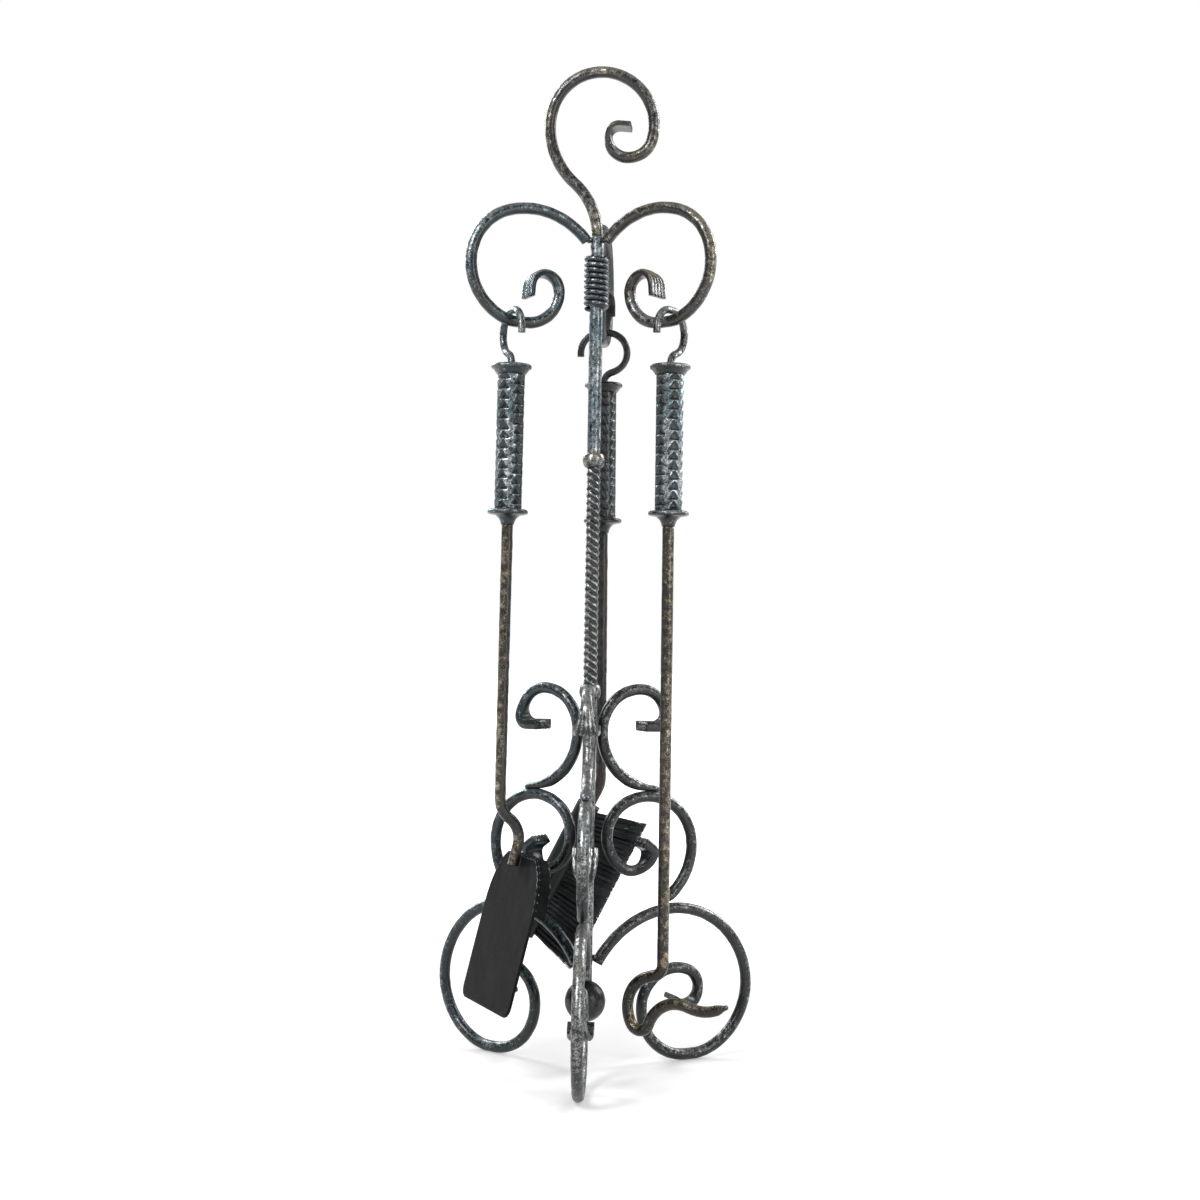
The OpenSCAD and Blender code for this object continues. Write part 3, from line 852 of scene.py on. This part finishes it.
def make_block(at_block):
    """A turned block, flat on the bristle side, with rounded ends."""
    sides, steps = 56, 40
    verts = []
    for i in range(steps + 1):
        t = i / steps
        z = -BLOCK_LEN + BLOCK_LEN * (0.5 - 0.5 * math.cos(math.pi * t))
        edge = min(1.0, min(t, 1 - t) * 14)
        r = BLOCK_D / 2 * (0.80 + 0.199 * math.sqrt(max(0.0, 1 - (1 - edge) ** 2)))
        for k in range(sides):
            a = 2 * math.pi * k / sides
            x, y = r * math.cos(a), r * math.sin(a)
            verts.append((min(x, BLOCK_FLAT - 0.02), y, z))
    new_piece("brush_block_turned", placed(verts, at_block), tube_faces(steps + 1, sides), "brush",
              ["brush_block"], WOOD)


def make_bristles(at_block):
    """Tufts of thick fibres that fan out from the block's flat, each fibre a tapered strip."""
    rand = random.Random(5)
    root = BLOCK_FLAT
    tip = root + BRISTLE_LEN
    wide = BLOCK_D * 0.62
    verts, faces, raised = [], [], []
    rows, columns, fibres = 7, 31, 15
    for j in range(columns):
        shade = rand.random() ** 2
        for i in range(rows):
            along = (j + 0.5) / columns
            side = (i + 0.5) / rows * 2 - 1
            z0 = -BLOCK_LEN + 4 + (BLOCK_LEN - 8) * along
            y0 = side * BLOCK_D * 0.34
            z1 = -BLOCK_LEN - BRISTLE_FAN + 0.9 + (BLOCK_LEN + 2 * BRISTLE_FAN - 1.8) * along
            y1 = side * (wide - 1.2)
            for _ in range(fibres):
                fibre(rand, verts, faces, (root - 0.8, y0, z0), (tip - 0.5, y1, z1))
                raised += [shade] * (len(verts) - len(raised))
    new_piece("brush_fibres", placed(verts, at_block), faces, "brush", ["brush_bristles"], FIBRE,
              raised)


def fibre(rand, verts, faces, start, end):
    """One bristle: a bent three-sided strand from the block to its tip."""
    r = rand.uniform(0.22, 0.34)
    spread = 1.1
    lo_y, hi_y = -BLOCK_D * 0.62 + 0.5, BLOCK_D * 0.62 - 0.5
    lo_z, hi_z = -BLOCK_LEN - BRISTLE_FAN + 0.5, BRISTLE_FAN - 0.5
    y1 = min(hi_y, max(lo_y, end[1] + rand.gauss(0, spread)))
    z1 = min(hi_z, max(lo_z, end[2] + rand.gauss(0, spread)))
    x1 = end[0] - abs(rand.gauss(0, 1.3))
    y0, z0 = start[1] + rand.gauss(0, 0.5), start[2] + rand.gauss(0, 0.6)
    bow_y, bow_z = rand.gauss(0, 0.6), rand.gauss(0, 0.6)
    base = len(verts)
    joints = 4
    for k in range(joints + 1):
        t = k / joints
        bow = math.sin(math.pi * t)
        x = start[0] + (x1 - start[0]) * t
        y = min(hi_y, max(lo_y, y0 + (y1 - y0) * t + bow_y * bow))
        z = min(hi_z, max(lo_z, z0 + (z1 - z0) * t + bow_z * bow))
        size = r * (1 - 0.45 * t)
        for m in range(3):
            a = 2 * math.pi * m / 3
            verts.append((x, y + size * math.cos(a), z + size * math.sin(a)))
    for k in range(joints):
        for m in range(3):
            a, b = base + k * 3 + m, base + k * 3 + (m + 1) % 3
            faces.append((a, b, b + 3, a + 3))
    faces.append((base + 2, base + 1, base))
    faces.append((base + joints * 3, base + joints * 3 + 1, base + joints * 3 + 2))


# ---- Camera, floor and light ----

CAMERA_DISTANCE = 1.440
CAMERA_AZIMUTH = -84.4          # from +X, so 2.1 degrees round from the front leg
CAMERA_HEIGHT = 0.3535
CAMERA_ROLL = 0.92
CAMERA_PITCH = 0.83
CAMERA_AIM_RIGHT = 0.27         # the camera looks this far to the right of the post
LENS = 54.0
LAMP_AIM_Z = 0.35


def make_camera():
    data = bpy.data.cameras.new("camera")
    data.lens = LENS
    data.sensor_width = 36.0
    data.clip_start = 0.05
    data.clip_end = 40.0
    camera = bpy.data.objects.new("camera", data)
    bpy.context.scene.collection.objects.link(camera)
    a = math.radians(CAMERA_AZIMUTH)
    place = Vector((CAMERA_DISTANCE * math.cos(a), CAMERA_DISTANCE * math.sin(a), CAMERA_HEIGHT))
    aim = math.radians(CAMERA_AZIMUTH + 180 - CAMERA_AIM_RIGHT)
    pitch = math.radians(CAMERA_PITCH)
    ahead = Vector((math.cos(aim) * math.cos(pitch), math.sin(aim) * math.cos(pitch), math.sin(pitch)))
    look = ahead.to_track_quat("-Z", "Y").to_matrix().to_4x4()
    camera.matrix_world = Matrix.Translation(place) @ look @ turn("Z", CAMERA_ROLL)
    bpy.context.scene.camera = camera


def floor_material():
    """Pale floor that shows as white to the camera and in reflections, and keeps the shadow."""
    mat, tree, shader = node_material("floor_white")
    shader.inputs["Base Color"].default_value = (0.82, 0.82, 0.82, 1.0)
    shader.inputs["Roughness"].default_value = 0.7
    coords = tree.nodes.new("ShaderNodeTexCoord").outputs["Object"]
    speck = noise_on(tree, coords, 60.0, 2.0)
    bump(tree, shader, speck, 0.02, 0.0002)
    reach = tree.nodes.new("ShaderNodeVectorMath")
    reach.operation = "LENGTH"
    tree.links.new(coords, reach.inputs[0])
    glow = tree.nodes.new("ShaderNodeEmission")
    far = maths(tree, "MULTIPLY", maths(tree, "SUBTRACT", reach.outputs["Value"], 0.35), 1.1)
    strength = maths(tree, "ADD", 0.34, maths(tree, "MINIMUM", maths(tree, "MAXIMUM", far, 0.0), 0.8))
    tree.links.new(strength, glow.inputs["Strength"])
    total = tree.nodes.new("ShaderNodeAddShader")
    tree.links.new(shader.outputs[0], total.inputs[0])
    tree.links.new(glow.outputs[0], total.inputs[1])
    path = tree.nodes.new("ShaderNodeLightPath")
    switch = tree.nodes.new("ShaderNodeMixShader")
    seen = maths(tree, "MAXIMUM", path.outputs["Is Camera Ray"], path.outputs["Is Glossy Ray"])
    tree.links.new(seen, switch.inputs[0])
    tree.links.new(shader.outputs[0], switch.inputs[1])
    tree.links.new(total.outputs[0], switch.inputs[2])
    tree.links.new(switch.outputs[0], tree.nodes["Material Output"].inputs["Surface"])
    return mat


def make_floor():
    size = 12.0
    mesh = bpy.data.meshes.new("floor")
    mesh.from_pydata([(-size, -size, 0), (size, -size, 0), (size, size, 0), (-size, size, 0)], [],
                     [(0, 1, 2, 3)])
    floor = bpy.data.objects.new("floor", mesh)
    bpy.context.scene.collection.objects.link(floor)
    mesh.materials.append(floor_material())


def make_world():
    """White to the camera, a soft grey light to everything else."""
    world = bpy.data.worlds.new("world")
    bpy.context.scene.world = world
    world.use_nodes = True
    tree = world.node_tree
    light = tree.nodes["Background"]
    light.inputs["Color"].default_value = (1.0, 1.0, 1.0, 1.0)
    light.inputs["Strength"].default_value = 0.32
    white = add(tree, "ShaderNodeBackground", Strength=1.0)
    white.inputs["Color"].default_value = (1.0, 1.0, 1.0, 1.0)
    path = tree.nodes.new("ShaderNodeLightPath")
    switch = tree.nodes.new("ShaderNodeMixShader")
    tree.links.new(path.outputs["Is Camera Ray"], switch.inputs[0])
    tree.links.new(light.outputs[0], switch.inputs[1])
    tree.links.new(white.outputs[0], switch.inputs[2])
    tree.links.new(switch.outputs[0], tree.nodes["World Output"].inputs["Surface"])


def area_lamp(name, place, size, watts, colour=(1.0, 1.0, 1.0)):
    data = bpy.data.lights.new(name, "AREA")
    data.shape = "RECTANGLE"
    data.size = size[0]
    data.size_y = size[1]
    data.energy = watts
    data.color = colour
    lamp = bpy.data.objects.new(name, data)
    bpy.context.scene.collection.objects.link(lamp)
    target = Vector((0, 0, LAMP_AIM_Z))
    lamp.matrix_world = (Matrix.Translation(place)
                         @ (target - Vector(place)).to_track_quat("-Z", "Y").to_matrix().to_4x4())


def make_lamps():
    area_lamp("key", (-1.0, -1.8, 1.9), (0.55, 0.9), 36.0)
    area_lamp("fill", (1.9, -1.5, 1.0), (0.8, 1.4), 18.0)
    area_lamp("rim_left", (-1.6, 1.5, 1.7), (0.6, 1.4), 26.0)
    area_lamp("rim_right", (1.8, 1.3, 1.5), (0.6, 1.4), 26.0)


def main():
    bpy.context.scene.view_settings.view_transform = "Standard"
    make_camera()
    make_world()
    make_floor()
    make_lamps()
    make_post()
    make_collars()
    make_wire_wrap()
    scroll("crook", CROOK_START, CROOK, 0.0, BROWN_IRON, seed=1)
    make_ball()
    make_arms()
    make_legs()
    make_welds()
    make_poker()
    make_shovel()
    make_brush()


main()
